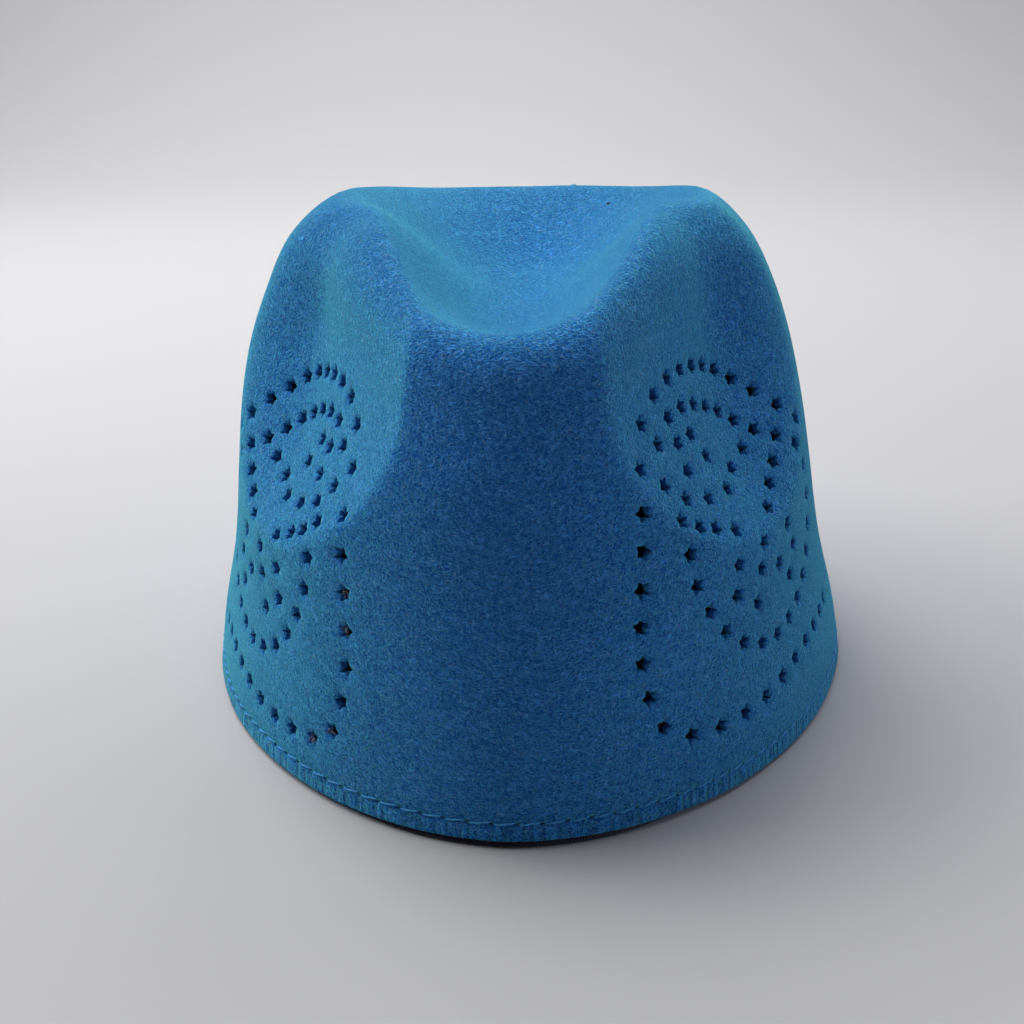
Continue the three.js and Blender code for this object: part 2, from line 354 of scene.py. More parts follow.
def smooth_line(through, closed, count):
    """Evenly spaced places on a smooth curve through the given ones."""
    knots = np.array(through, float) * (MM_PER_DEGREE, 1)
    if closed:
        knots = np.vstack([knots[-1:], knots, knots[:2]])
    else:
        knots = np.vstack([2 * knots[0] - knots[1], knots, 2 * knots[-1] - knots[-2]])
    steps = np.linspace(0, 1, LINE_STEPS + 1)[:-1, None]
    curve = []
    for before, start, end, after in zip(knots, knots[1:], knots[2:], knots[3:]):
        gaps = [np.linalg.norm(b - a) ** 0.5 for a, b in ((before, start), (start, end), (end, after))]
        leave = (start - before) / gaps[0] - (end - before) / (gaps[0] + gaps[1])
        leave = gaps[1] * (leave + (end - start) / gaps[1])
        arrive = (end - start) / gaps[1] - (after - start) / (gaps[1] + gaps[2])
        arrive = gaps[1] * (arrive + (after - end) / gaps[2])
        bend = 3 * (end - start) - 2 * leave - arrive
        turn_back = 2 * (start - end) + leave + arrive
        curve.append(start + leave * steps + bend * steps**2 + turn_back * steps**3)
    curve = np.vstack([*curve, knots[-2][None]])
    length = np.r_[0, np.cumsum(np.linalg.norm(np.diff(curve, axis=0), axis=1))]
    stops = np.linspace(0, length[-1], count + 1 if closed else count)[:count]
    along = np.column_stack([np.interp(stops, length, curve[:, k]) for k in (0, 1)])
    return along / (MM_PER_DEGREE, 1)


# %% Places of the stars
CHART_TOP = 90
LOWER_FOOT, LOWER_TOP = 5, 2
RIGHT_SPREAD, RIGHT_SHIFT = 0.92, 5
TWIST, TWIST_STEP = 0.4, 2.4

border = smooth_line(BORDER_LINE, False, BORDER_COUNT)
ring = smooth_line(RING_LINE, True, RING_COUNT)
star_turns, star_heights, star_twists = [], [], []
for side in (1, -1):
    chart = np.vstack([border, ring, CURLS])
    share = chart[:, 1] / CHART_TOP
    lower = 0 if side > 0 else LOWER_FOOT + (LOWER_TOP - LOWER_FOOT) * share
    numbers = np.arange(len(chart)) + (0 if side > 0 else len(border) + len(ring))
    turns = chart[:, 0] if side > 0 else chart[:, 0] * RIGHT_SPREAD + RIGHT_SHIFT
    star_turns.append(side * np.radians(turns))
    star_heights.append(chart[:, 1] - lower)
    star_twists.append(TWIST * np.sin(TWIST_STEP * numbers))
star_turns = np.concatenate(star_turns)
star_heights = np.concatenate(star_heights)
star_twists = np.concatenate(star_twists)
star_flat = np.column_stack(
    [star_turns / TURN_PER_MM, flat_at_height(star_turns, star_heights), 0 * star_turns]
)


def flat_axes(centre):
    """One true millimetre aside and one up, as places on the flat felt: the columns of a matrix."""
    step = 0.5
    here = press(centre)
    along = (press(centre + (step, 0, 0)) - here) / step
    upward = (press(centre + (0, step, 0)) - here) / step
    out = np.cross(along, upward)
    out /= np.linalg.norm(out, axis=1)[:, None]
    aside = np.cross((0, 0, 1), out)
    aside /= np.linalg.norm(aside, axis=1)[:, None]
    up = np.cross(out, aside)
    true = np.empty((len(centre), 2, 2))
    true[:, 0, 0] = (along * aside).sum(1)
    true[:, 0, 1] = (upward * aside).sum(1)
    true[:, 1, 0] = (along * up).sum(1)
    true[:, 1, 1] = (upward * up).sum(1)
    return np.linalg.inv(true)


star_axes = flat_axes(star_flat)
star_true = np.linalg.inv(star_axes)
print("stars:", len(star_flat))

# %% [markdown]
# ## The blank
#
# The blank is a grid primitive, stretched to the size of the flat felt. Its lowest rows are set
# closer together, because the seam and the cut edge need more detail than the wall above them.

# %% Blank
COLUMNS, ROWS = 288, 104
EDGE_ROWS, EDGE_ROW = 14, 0.75


def flat_grid(name, columns, rows):
    """A new grid, with shares aside (-0.5 to 0.5) and up (0 to 1) for each vertex."""
    start_fresh()
    bpy.ops.mesh.primitive_grid_add(x_subdivisions=columns, y_subdivisions=rows, size=1)
    piece = bpy.context.object
    piece.name = name
    shares = points_of(piece) * MM
    return piece, shares[:, 0], shares[:, 1] + 0.5


felt, aside, up = flat_grid("felt_crown_look", COLUMNS, ROWS)
row_number = np.rint(up * ROWS)
edge_top = EDGE_ROWS * EDGE_ROW
wide_row = (FLAT_TALL - edge_top) / (ROWS - EDGE_ROWS)
wall_y = edge_top + (row_number - EDGE_ROWS) * wide_row
flat_y = np.where(row_number < EDGE_ROWS, row_number * EDGE_ROW, wall_y)
put_points(felt, np.column_stack([aside * FLAT_LONG, flat_y, 0 * flat_y]))
row_lines = np.unique(np.round(flat_y, 6))
print("blank:", len(felt.data.vertices), "vertices, wall rows of", round(float(wide_row), 2), "mm")

# %% [markdown]
# ## One punched star
#
# A punch leaves a five-pointed hole with soft lips. One star is modelled and then copied. It
# starts as a circle primitive with twenty vertices: every fourth one becomes a point, every
# other fourth one an inner corner, and the rest stay halfway. Two extrusions of the circle,
# drawn in by transform.resize, give a lip ring and the outline of the hole.

# %% Star tile
TILE_RADIUS, TILE_SIDES = 2.55, 20
STAR_OUTER, STAR_INNER = 2.1, 1.25
# how much each extrusion is drawn in, and how much the straight sides of the star are
DRAWN_IN, SIDE_SHARE = 0.8, 0.93
# width of the lip at an inner corner and at a tip, and the least that is left round it
LIP_AT_CORNER, LIP_AT_TIP, TILE_MARGIN = 0.32, 0.18, 0.2
# how strongly the circle, the lip and the outline are pulled down later
LIP_MARKS = (0.0, 0.35, 1.0)

start_fresh()
bpy.ops.mesh.primitive_circle_add(vertices=TILE_SIDES, radius=TILE_RADIUS * MM, fill_type="NOTHING")
tile = bpy.context.object
tile.name = "star_tile"
with editing(tile):
    for ring_name in ("lip", "outline"):
        bpy.ops.mesh.extrude_region_move()
        bpy.ops.transform.resize(value=(DRAWN_IN, DRAWN_IN, 1))

# the vertices come in rings of twenty: the circle, the lip and the outline
tile_points = points_of(tile)
tile_angle = np.arctan2(tile_points[:, 1], tile_points[:, 0])
first_angle = tile_angle[0]
step_number = np.rint((tile_angle - first_angle) / (2 * math.pi / TILE_SIDES)).astype(int) % 4
tip_share = np.abs(step_number - 2) / 2
outline_radius = STAR_INNER + (STAR_OUTER - STAR_INNER) * tip_share
outline_radius = np.where(step_number % 2 == 1, SIDE_SHARE * outline_radius, outline_radius)
lip_width = LIP_AT_CORNER + (LIP_AT_TIP - LIP_AT_CORNER) * tip_share
lip_radius = np.minimum(outline_radius + lip_width, TILE_RADIUS - TILE_MARGIN)
tile_ring = np.arange(len(tile_points)) // TILE_SIDES
circle_radius = np.full(len(tile_points), TILE_RADIUS)
new_radius = np.choose(tile_ring, [circle_radius, lip_radius, outline_radius])
star_angle = tile_angle - first_angle + math.pi / 2
tile_points[:, 0] = new_radius * np.cos(star_angle)
tile_points[:, 1] = new_radius * np.sin(star_angle)
put_points(tile, tile_points)
lip_mark = tile.data.attributes.new("lip", "FLOAT", "POINT")
lip_mark.data.foreach_set("value", np.choose(tile_ring, LIP_MARKS).astype(np.float32))
print("star tile:", len(tile.data.vertices), "vertices,", len(tile.data.polygons), "faces")

# %% [markdown]
# ## Room for the stars
#
# The cells of the blank that a star would touch are selected by their distance and deleted.
# The distance is measured in true millimetres on the block, not on the flat felt, because the
# felt stretches a little differently at each place.

# %% Clear the cells under the stars
CLEAR = 0.45


def from_star(flat, number):
    """Distance in true millimetres from one star, for places on the flat felt."""
    offset = (flat[:, :2] - star_flat[number, :2]) @ star_true[number].T
    return np.linalg.norm(offset, axis=1)


def cell_of(flat):
    """The column and the row of the blank in which a flat place lies."""
    column = np.floor((flat[:, 0] / FLAT_LONG + 0.5) * COLUMNS).astype(int)
    row = np.searchsorted(row_lines, flat[:, 1]) - 1
    return column, row


flat_points = points_of(felt)
touched = np.zeros(len(flat_points), bool)
for number in range(len(star_flat)):
    touched |= from_star(flat_points, number) < TILE_RADIUS + CLEAR
cells = read(felt.data.polygons, "vertices", 4, int)
doomed = touched[cells].any(1)
cleared = np.zeros((COLUMNS, ROWS), bool)
cleared[cell_of(flat_points[cells[doomed]].mean(1))] = True
with editing(felt, "faces", doomed):
    bpy.ops.mesh.delete(type="FACE")
print("cells left:", len(felt.data.polygons))

# %% Copy the star into each place
copies = []
for number in range(len(star_flat)):
    twist = Matrix.Rotation(star_twists[number], 2)
    stretch = Matrix(star_axes[number].tolist()) @ twist
    place = Matrix.Translation(Vector(star_flat[number]) * MM) @ stretch.to_4x4()
    copy = bpy.data.objects.new("star_copy", tile.data.copy())
    copy.data.transform(place)
    scene.collection.objects.link(copy)
    copies.append(copy)
take_up(felt)
for copy in copies:
    copy.select_set(True)
bpy.ops.object.join()
bpy.data.objects.remove(tile)
print("felt with stars:", len(felt.data.polygons), "faces")

# %% [markdown]
# ## Close the felt round the stars
#
# Between each star and the cells round it there is a narrow gap. The fill operator could lay
# triangles in it, but the gaps of neighbouring stars run together, and there it crosses itself.
# A Delaunay triangulation keeps to the borders that it is given and makes the roundest
# triangles that fit, so it joins all the borders at once. Triangles inside a star or over a
# cell that is still there are left out. Faces that look down, such as those of the stars, are
# flipped, because Solidify thickens each face toward its own back.

# %% Join the stars to the blank
LONGEST_SIDE = 8
# what counts as no distance at all, in millimetres
SMALL = 0.01

lip_values = read(felt.data.attributes["lip"].data, "value")
ends = edge_ends(felt)
faces_at_edge = np.bincount(read(felt.data.loops, "edge_index", kind=int), minlength=len(ends))
flat_points = points_of(felt)
on_side = np.abs(flat_points[:, 0]) > FLAT_LONG / 2 - SMALL
on_foot = flat_points[:, 1] < SMALL
on_top = flat_points[:, 1] > FLAT_TALL - SMALL
on_border = on_side[ends].all(1) | on_foot[ends].all(1) | on_top[ends].all(1)
gap_edges = ends[(faces_at_edge == 1) & ~on_border & (lip_values[ends] < 0.5).all(1)]
gap_points, gap_ends = np.unique(gap_edges, return_inverse=True)
flat_corners = [Vector(corner) for corner in flat_points[gap_points, :2].tolist()]
drawn = delaunay_2d_cdt(flat_corners, gap_ends.reshape(-1, 2).tolist(), [], 0, 1e-6)
triangles = np.array(drawn[2])
came_from = np.array([gap_points[numbers[0]] for numbers in drawn[3]])
triangles = came_from[triangles]
middles = flat_points[triangles].mean(1)
sides = np.linalg.norm(flat_points[triangles] - flat_points[np.roll(triangles, 1, axis=1)], axis=2)
in_gap = cleared[cell_of(middles)] & (sides.max(1) < LONGEST_SIDE)
inside_tile = TILE_RADIUS * math.cos(math.pi / TILE_SIDES)
for number in range(len(star_flat)):
    in_gap &= from_star(middles, number) > inside_tile - SMALL
shape = bmesh.new()
shape.from_mesh(felt.data)
shape.verts.ensure_lookup_table()
for corners in triangles[in_gap]:
    shape.faces.new([shape.verts[corner] for corner in corners])
shape.to_mesh(felt.data)
shape.free()
facing = read(felt.data.polygons, "normal", 3)
with editing(felt, "faces", facing[:, 2] < 0):
    bpy.ops.mesh.flip_normals()
print("joined with", int(in_gap.sum()), "triangles")

# %% [markdown]
# ## A map for the seam
#
# Most of the felt's pattern is the same in all directions, but the ticks and needle holes of the
# seam follow the edge. So each vertex keeps its flat place as a UV map, in metres: U along the
# edge and V up the wall. It is written now, while the felt still lies flat.

# %% Flat map
def lay_map(piece):
    """Keep the flat place of each vertex of a piece as a UV map."""
    flat_map = piece.data.uv_layers.new(name="flat_place")
    vertices = read(piece.data.loops, "vertex_index", kind=int)
    flat_map.data.foreach_set("uv", (points_of(piece)[vertices, :2] * MM).ravel())
    print("map laid over", len(vertices), "face corners")


lay_map(felt)

# %% [markdown]
# ## Thickness
#
# Solidify gives the flat sheet its two millimetres, and walls inside each hole. It also closes
# the two ends and the top of the blank, where the felt will meet itself on the block. Those
# faces are deleted again. The two long edges of the foot are bevelled, because cut felt has no
# sharp edge.

# %% Solidify and round the cut edge
CUT_ROUND = 0.5


def thicken(piece, thick):
    """Thicken a flat piece toward its back."""
    take_up(piece)
    solidify = piece.modifiers.new("thickness", "SOLIDIFY")
    solidify.thickness = thick * MM
    solidify.offset = -1
    bpy.ops.object.modifier_apply(modifier=solidify.name)


def face_middles(piece):
    """The middle of each face in millimetres."""
    return read(piece.data.polygons, "center", 3) / MM


def open_where(piece, marked):
    """Delete the marked faces, where a piece will meet itself."""
    with editing(piece, "faces", marked):
        bpy.ops.mesh.delete(type="ONLY_FACE")


def round_edges(piece, marked, radius, segments):
    """Bevel the edges that run along X between marked vertices."""
    ends = edge_ends(piece)
    lengthwise = np.ptp(points_of(piece)[ends, 0], axis=1) > SMALL
    with editing(piece, "edges", marked[ends].all(1) & lengthwise):
        bpy.ops.mesh.bevel(offset=radius * MM, segments=segments, profile=0.5)
    print(piece.name, "has", triangle_count(piece), "triangles")


thicken(felt, FELT_THICK)
middles = face_middles(felt)
at_top = middles[:, 1] > FLAT_TALL - SMALL
open_where(felt, at_top | (np.abs(middles[:, 0]) > FLAT_LONG / 2 - SMALL))
round_edges(felt, points_of(felt)[:, 1] < SMALL, CUT_ROUND, 2)

# %% [markdown]
# ## Soft lips and a seam that pulls in
#
# The punch drags the felt down round each hole, and the seam's thread pulls a shallow groove
# along the edge. Both are moves along Z while the felt is flat: a soft hollow that fades with
# the distance from each star, a deeper lip on its outline, and a groove under the stitches.
# A real cap is never quite even, so a broad, low noise is added as well.

# %% Shape the flat felt
HOLLOW_DEEP, HOLLOW_WIDE = 0.34, 2.7
LIP_DEEP = 0.22
SEAM_HIGH, SEAM_DEEP, SEAM_WIDE = 4.6, 0.3, 0.7
STITCH_COUNT = 125
UNEVEN, UNEVEN_SIZE = 0.35, 22.0


def uneven_at(flat):
    """Broad, low unevenness of the felt at flat places, in millimetres."""
    pressed = press(flat * (1, 1, 0))
    return UNEVEN * np.array([noise.noise(Vector(point / UNEVEN_SIZE)) for point in pressed])


def nearest_star(flat):
    """Distance in true millimetres to the nearest star, for flat places."""
    nearest = from_star(flat, 0)
    for number in range(1, len(star_flat)):
        nearest = np.minimum(nearest, from_star(flat, number))
    return nearest


def pulled_down(flat, on_face=1):
    """How far the stars pull the felt down at flat places and, on its face, the seam does."""
    hollow = HOLLOW_DEEP * np.exp(-((nearest_star(flat) / HOLLOW_WIDE) ** 2))
    groove = SEAM_DEEP * np.exp(-(((flat[:, 1] - SEAM_HIGH) / SEAM_WIDE) ** 2))
    return hollow + groove * on_face


flat_points = points_of(felt)
lip_values = read(felt.data.attributes["lip"].data, "value")
on_face = flat_points[:, 2] > -FELT_THICK / 2
down = pulled_down(flat_points, on_face) + LIP_DEEP * lip_values * on_face
flat_points[:, 2] += uneven_at(flat_points) - down
print("deepest place, mm:", round(float(down.max()), 2))

# %% [markdown]
# ## Over the block
#
# Now the flat felt is pressed over the block. Its two ends meet at the back and its top edge
# shrinks to the bottom of the dent, so the vertices there are merged by distance.

# %% Press the felt
MERGE = 0.004
SOFT_ANGLE = math.radians(50)


def close_up(piece):
    """Merge what meets, turn all faces outwards and smooth what is not an edge."""
    with editing(piece):
        bpy.ops.mesh.remove_doubles(threshold=MERGE * MM)
        bpy.ops.mesh.delete_loose(use_verts=True, use_edges=True, use_faces=False)
        bpy.ops.mesh.select_all(action="SELECT")
        bpy.ops.mesh.normals_make_consistent(inside=False)
    bpy.ops.object.shade_smooth_by_angle(angle=SOFT_ANGLE)
    print(piece.name, "closed, with", triangle_count(piece), "triangles")


put_points(felt, press(flat_points))
close_up(felt)

# %% [markdown]
# ## Ribbon
#
# Inside the rim sits a dark grosgrain ribbon, folded double. It is a grid primitive again, as
# long as the rim and as tall as the ribbon, and it stands just inside the felt. Its foot reaches
# the table, a little lower than the felt, which is why a thin dark line shows under the front.

# %% Ribbon blank
RIBBON_TALL, RIBBON_THICK, RIBBON_GAP = 28.0, 1.0, 0.3
RIBBON_ROWS = 16
RIBBON_ROUND = 0.42

ribbon, aside, up = flat_grid("sweatband_look", COLUMNS, RIBBON_ROWS)
put_points(ribbon, np.column_stack([aside * FLAT_LONG, up * RIBBON_TALL, 0 * up]))
lay_map(ribbon)
thicken(ribbon, RIBBON_THICK)
open_where(ribbon, np.abs(face_middles(ribbon)[:, 0]) > FLAT_LONG / 2 - SMALL)
strip = points_of(ribbon)
at_fold = (strip[:, 1] < SMALL) | (strip[:, 1] > RIBBON_TALL - SMALL)
round_edges(ribbon, at_fold, RIBBON_ROUND, 3)

# %% Stand the ribbon inside the felt
# depth of the ribbon's waves, how many of two kinds go round the rim, and the second kind's share
RIBBON_WAVE, FIRST_WAVES, SECOND_WAVES, SECOND_SHARE = 0.25, 9, 4, 0.6
# how far the foot comes forward under the felt, how tall it is, and the share that is all forward
FOLD_FORWARD, FOLD_TALL, FOLD_FULL = 1.9, 1.6, 0.4
# heights of the felt's edge at which the foot starts to come forward and is fully there
EDGE_LOW, EDGE_HIGH = 1.0, 1.7


def inside_wall(flat):
    """Places inside the wall: along the rim, true height, and depth out of the felt's face."""
    turn = flat[:, 0] * TURN_PER_MM
    height = flat[:, 1]
    place = np.interp(flat_at_height(turn, np.maximum(height, 0)), reach_up, fine_places)
    out = felt_outward(turn, place) * (1, 1, 0)
    out /= np.linalg.norm(out, axis=1)[:, None]
    points = felt_face(turn, place) + out * flat[:, 2:3]
    points[:, 2] = height
    return points


strip = points_of(ribbon)
free = smooth(SEAM_HIGH, RIBBON_TALL, strip[:, 1])
strip_turn = strip[:, 0] * TURN_PER_MM
first_wave = 1 + np.sin(FIRST_WAVES * strip_turn)
second_wave = 1 + np.sin(SECOND_WAVES * strip_turn + 1)
wave = first_wave + SECOND_SHARE * second_wave
strip[:, 2] -= FELT_THICK + RIBBON_GAP + RIBBON_WAVE * free * wave
edge_height = felt_face(strip_turn, np.zeros(len(strip)))[:, 2]
under_edge = 1 - smooth(FOLD_FULL * FOLD_TALL, FOLD_TALL, strip[:, 1])
strip[:, 2] += FOLD_FORWARD * under_edge * smooth(EDGE_LOW, EDGE_HIGH, edge_height)
put_points(ribbon, inside_wall(strip))
close_up(ribbon)
ribbon_heights = points_of(ribbon)[:, 2]
print("ribbon stands from", ribbon_heights.min().round(2), "to", ribbon_heights.max().round(2))

# %% [markdown]
# ## Lockstitch
#
# One stitch is a short length of thread that bows up out of one needle hole and dives into the
# next. It is modelled once from a thin cylinder, turned to lie along X, and an Array modifier
# repeats it along the flat felt at the needle's pitch. Then the whole row is pressed over the
# block, as the felt was.

# %% One stitch
THREAD, THREAD_PINCH = 0.5, 0.3
PITCH = FLAT_LONG / STITCH_COUNT
STITCH_BOW, STITCH_SLANT = 0.6, 0.35
THREAD_SIDES, THREAD_CUTS = 6, 9

start_fresh()
bpy.ops.mesh.primitive_cylinder_add(
    vertices=THREAD_SIDES, radius=THREAD / 2 * MM, depth=PITCH * MM, end_fill_type="NGON"
)
stitches = bpy.context.object
stitches.name = "stitching"
with editing(stitches):
    bpy.ops.transform.rotate(value=math.pi / 2, orient_axis="Y", center_override=(0, 0, 0))
thread = points_of(stitches)
lengthwise = np.ptp(thread[edge_ends(stitches), 0], axis=1) > PITCH / 2
with editing(stitches, "edges", lengthwise):
    bpy.ops.mesh.subdivide(number_cuts=THREAD_CUTS)
thread = points_of(stitches)
share = 2 * thread[:, 0] / PITCH
thread[:, 1:] *= (1 - THREAD_PINCH * share**4)[:, None]
thread[:, 1] += STITCH_SLANT * share
thread[:, 2] -= STITCH_BOW * np.abs(share) ** 3
put_points(stitches, thread)
print("one stitch:", triangle_count(stitches), "triangles")

# %% Repeat the stitch along the seam, outside and inside
THREAD_PROUD, BOBBIN_PROUD = 0.25, 0.1
INSIDE = -FELT_THICK - RIBBON_GAP - RIBBON_THICK - BOBBIN_PROUD

take_up(stitches)
row = stitches.modifiers.new("row", "ARRAY")
row.use_relative_offset = False
row.use_constant_offset = True
row.constant_offset_displace = (PITCH * MM, 0, 0)
row.count = STITCH_COUNT
bpy.ops.object.modifier_apply(modifier=row.name)
thread = points_of(stitches) + ((PITCH - FLAT_LONG) / 2, 0, 0)
outside = thread + (0, SEAM_HIGH, THREAD_PROUD - SEAM_DEEP)
outside[:, 2] += uneven_at(outside)
bobbin = thread * (1, 1, -1) + (PITCH / 2, SEAM_HIGH, INSIDE)

bobbin_stitches = stitches.copy()
bobbin_stitches.data = stitches.data.copy()
scene.collection.objects.link(bobbin_stitches)
put_points(stitches, press(outside))
put_points(bobbin_stitches, inside_wall(bobbin))
with editing(bobbin_stitches, "faces"):
    bpy.ops.mesh.flip_normals()
take_up(stitches)
bobbin_stitches.select_set(True)
bpy.ops.object.join()
bpy.ops.object.shade_smooth()
print("stitching:", triangle_count(stitches), "triangles")

# %% [markdown]
# ## Loose wool fibres
#
# Felt has no weave. Its surface is short wool fibres, pressed flat and curled, and a few of them
# stand off it, which softens the outline against the light. A hair system would look right but
# can't leave Blender as part of a model, so each fibre here is a thin tapered strip of its own,
# strewn over the outer face from a fixed seed and pressed over the block with the rest.

# %% Strew the fibres
FIBRE_COUNT, FIBRE_JOINTS, FIBRE_SEED = 33000, 4, 7
FIBRE_SHORT, FIBRE_LONG, FIBRE_WIDE = 0.5, 2.0, 0.06
# how much a fibre curls in radians, how steeply it rises, and how far its root is off the felt
FIBRE_CURL, FIBRE_RISE, FIBRE_OFF = 1.1, 0.26, 0.02
# share of the places that is kept where the felt keeps its flat size
KEPT_SHARE = 0.8


def strew(centres, shortest, longest, width):
    """Thin curled strips on the flat felt, one at each centre: their vertices and their faces."""
    count = len(centres)
    dice = np.random.default_rng(FIBRE_SEED)
    length = shortest + (longest - shortest) * dice.random(count) ** 2
    heading = dice.random(count) * 2 * math.pi
    curl = dice.normal(0, FIBRE_CURL, count)
    lift = FIBRE_RISE * dice.random(count) ** 2 * length
    axes = flat_axes(np.column_stack([centres, np.zeros(count)]))
    rows = []
    spot = np.zeros((count, 2))
    for joint in range(FIBRE_JOINTS):
        share = joint / (FIBRE_JOINTS - 1)
        angle = heading + curl * share
        step = np.column_stack([np.cos(angle), np.sin(angle)])
        if joint:
            spot = spot + step * (length / (FIBRE_JOINTS - 1))[:, None]
        side = np.column_stack([-step[:, 1], step[:, 0]]) * width / 2 * (1 - share)
        for hand in (1, -1) if joint < FIBRE_JOINTS - 1 else (0,):
            flat = np.einsum("nij,nj->ni", axes, spot + hand * side)
            rows.append(np.column_stack([centres + flat, FIBRE_OFF + lift * share]))
    corners = np.stack(rows, axis=1)
    per = corners.shape[1]
    pattern = []
    for a in range(0, per - 3, 2):
        pattern += [(a, a + 2, a + 1), (a + 1, a + 2, a + 3)]
    pattern += [(per - 3, per - 1, per - 2)]
    faces = np.arange(count)[:, None, None] * per + np.array(pattern)
    return corners.reshape(-1, 3), faces.reshape(-1, 3)


def piece_from(name, points, faces):
    """A new piece from points in millimetres and triangles."""
    mesh = bpy.data.meshes.new(name)
    mesh.from_pydata((points * MM).tolist(), [], faces.tolist())
    piece = bpy.data.objects.new(name, mesh)
    scene.collection.objects.link(piece)
    print(name, "has", len(faces), "triangles")
    return piece


dice = np.random.default_rng(FIBRE_SEED)
centres = dice.random((2 * FIBRE_COUNT, 2)) * (FLAT_LONG, FLAT_TALL) - (FLAT_LONG / 2, 0)
true_area = 1 / np.abs(np.linalg.det(flat_axes(np.column_stack([centres, 0 * centres[:, 0]]))))
clear_of_holes = nearest_star(centres) > STAR_OUTER
kept = (dice.random(len(centres)) < KEPT_SHARE * true_area) & clear_of_holes
fibre_flat, fibre_faces = strew(centres[kept][:FIBRE_COUNT], FIBRE_SHORT, FIBRE_LONG, FIBRE_WIDE)
fibre_flat[:, 2] += uneven_at(fibre_flat) - pulled_down(fibre_flat)
fibres = piece_from("wool_fibres", press(fibre_flat), fibre_faces)

# %% [markdown]
# ## Lint and specks
#
# A few pale threads have caught in four of the holes beside the nose, and two tiny lumps sit in
# the dent: a dark bit of straw and a knot of wool. Such small faults show that a thing is real.
# The threads are strewn as the fibres were, but inside the holes; each lump is a small
# icosphere, pressed flat.

# %% Lint in the holes
# the holes, counted along the border on the wearer's right
LINT_HOLES = (9, 10, 13, 14)
LINT_EACH, LINT_SINK = 9, 0.5
LINT_SHORT, LINT_LONG, LINT_WIDE = 0.8, 2.2, 0.09

dice = np.random.default_rng(FIBRE_SEED)
right_stars = star_flat[len(star_flat) // 2 :, :2]
holes = np.repeat(right_stars[list(LINT_HOLES)], LINT_EACH, axis=0)
lint_places = holes + dice.normal(0, STAR_INNER / 2, holes.shape)
lint_flat, lint_faces = strew(lint_places, LINT_SHORT, LINT_LONG, LINT_WIDE)
lint_flat[:, 2] += uneven_at(lint_flat) - LINT_SINK
lint = piece_from("caught_lint", press(lint_flat), lint_faces)

# %% Specks in the dent
# name, place on the flat felt, radius, all in millimetres
SPECKS = [("straw_speck", (206, 138), 0.5), ("wool_knot", (233.3, 125.5), 0.8)]
SPECK_SHAPE = (1.2, 1, 0.6)

specks = []
for speck_name, place, radius in SPECKS:
    start_fresh()
    bpy.ops.mesh.primitive_ico_sphere_add(subdivisions=2, radius=radius * MM)
    speck = bpy.context.object
    speck.name = speck_name
    ball = points_of(speck)
    spot = np.array([[*place, 0.0]])
    ball = ball * SPECK_SHAPE + press(spot + (0, 0, uneven_at(spot)[0]))
    put_points(speck, ball)
    bpy.ops.object.shade_smooth()
    specks.append(speck)
print("specks:", [speck.name for speck in specks])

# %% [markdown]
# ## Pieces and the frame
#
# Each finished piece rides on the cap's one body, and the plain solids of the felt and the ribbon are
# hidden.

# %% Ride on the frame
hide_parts("felt_crown")
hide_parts("sweatband")
for piece in (felt, ribbon, stitches, fibres, lint, *specks):
    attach(piece, "root")

# %% [markdown]
# ## Tools for materials
#
# A material is a small network of nodes. These helpers keep the networks short: each adds one
# node, sets its inputs and gives back its result. A node group is a part of a network that
# several materials can use, each with values of its own.

# %% Node helpers
def fill(tree, node, inputs):
    """Give each named input of a node a value or a link."""
    for socket, value in (inputs or {}).items():
        if isinstance(value, bpy.types.NodeSocket):
            tree.links.new(value, node.inputs[socket])
        else:
            node.inputs[socket].default_value = value
    return node


def add_node(tree, kind, inputs=None, **settings):
    """Add a node, set what it does and fill its inputs."""
    node = tree.nodes.new("ShaderNode" + kind)
    for setting, value in settings.items():
        setattr(node, setting, value)
    return fill(tree, node, inputs)


def math_node(tree, operation, *values):
    """The result of a sum on one to three values."""
    return add_node(tree, "Math", dict(enumerate(values)), operation=operation).outputs[0]


def remap(tree, value, low, high, new_low, new_high):
    """A value moved from one range to another and kept inside it."""
    ranges = dict(enumerate((value, low, high, new_low, new_high)))
    return add_node(tree, "MapRange", ranges).outputs[0]


def noise_of(tree, place, cells, detail, roughness=0.5, distortion=0.0):
    """A smooth noise with so many cells in a metre."""
    inputs = {"Vector": place, "Scale": cells, "Detail": detail, "Roughness": roughness}
    return add_node(tree, "TexNoise", {**inputs, "Distortion": distortion}).outputs[0]


def shaded(tree, colour, shade):
    """A colour made darker or lighter."""
    return add_node(tree, "VectorMath", {0: colour, "Scale": shade}, operation="SCALE").outputs[0]


def squeezed(tree, place, shares):
    """A place with a share for each of its three directions."""
    return add_node(tree, "VectorMath", {0: place, 1: shares}, operation="MULTIPLY").outputs[0]


# %% Group and material helpers
def start_group(name, inputs, outputs):
    """A node group with named inputs and outputs; gives it with its inner input node."""
    group = bpy.data.node_groups.new(name, "ShaderNodeTree")
    for label, kind, value in inputs:
        socket = group.interface.new_socket(label, in_out="INPUT", socket_type="NodeSocket" + kind)
        if value is not None:
            socket.default_value = value
    for label, kind in outputs:
        group.interface.new_socket(label, in_out="OUTPUT", socket_type="NodeSocket" + kind)
    return group, group.nodes.new("NodeGroupInput").outputs


def end_group(group, results):
    """Link results to the outputs of a group."""
    fill(group, group.nodes.new("NodeGroupOutput"), results)
    print(group.name, "group:", len(group.nodes), "nodes")


def use_group(tree, group, inputs):
    """Place a group in a network and fill its inputs."""
    node = tree.nodes.new("ShaderNodeGroup")
    node.node_tree = group
    return fill(tree, node, inputs).outputs


